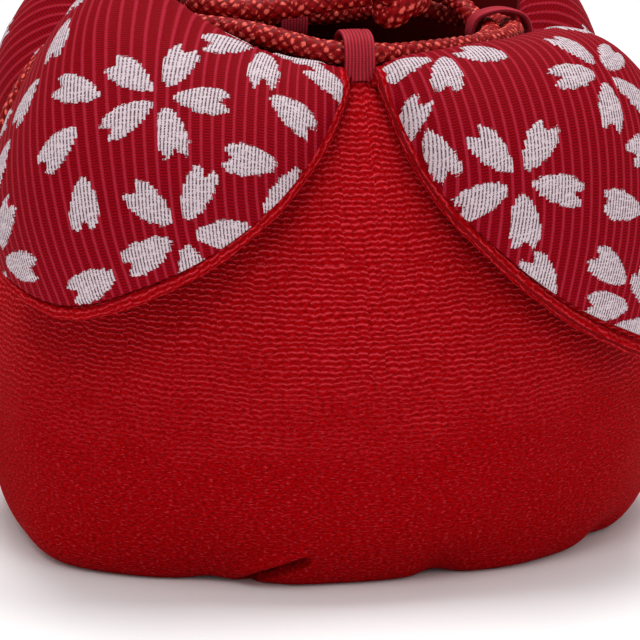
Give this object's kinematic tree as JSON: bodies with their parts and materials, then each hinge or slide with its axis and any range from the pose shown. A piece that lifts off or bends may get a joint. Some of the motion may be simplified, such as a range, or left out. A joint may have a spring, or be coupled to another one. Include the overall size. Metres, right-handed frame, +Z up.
{
  "type": "drawstring pouch",
  "caption": "Soft crepe drawstring pouch with brocade-faced petals folded back round the mouth, cord loops and braided drawcords.",
  "frame": {"origin": "centre of the flat base, on the surface the pouch stands on", "axes": "+Z up, -Y towards the front notch, +X to the right seen from the front"},
  "size_m": [0.1615, 0.1345, 0.1117],
  "materials": {
    "crepe": "crimson chirimen crepe with fine broken wrinkles",
    "lining_cloth": "plain dark red lining",
    "brocade": "ribbed crimson brocade with raised silver-white blossom",
    "loop_tape": "ribbed crimson tape",
    "braided_cord": "soft braided red cord"
  },
  "bodies": {
    "root": {"outer_cloth": "crepe", "lining": "lining_cloth", "petal_facing_front_left": "brocade", "petal_facing_front_right": "brocade", "petal_facing_back_right": "brocade", "petal_facing_back_left": "brocade", "cord_loop_front": "loop_tape", "cord_loop_right": "loop_tape", "cord_loop_back": "loop_tape", "cord_loop_left": "loop_tape", "drawcord_a": "braided_cord", "drawcord_b": "braided_cord", "knot_a": "braided_cord", "knot_b": "braided_cord"}
  },
  "joints": []
}
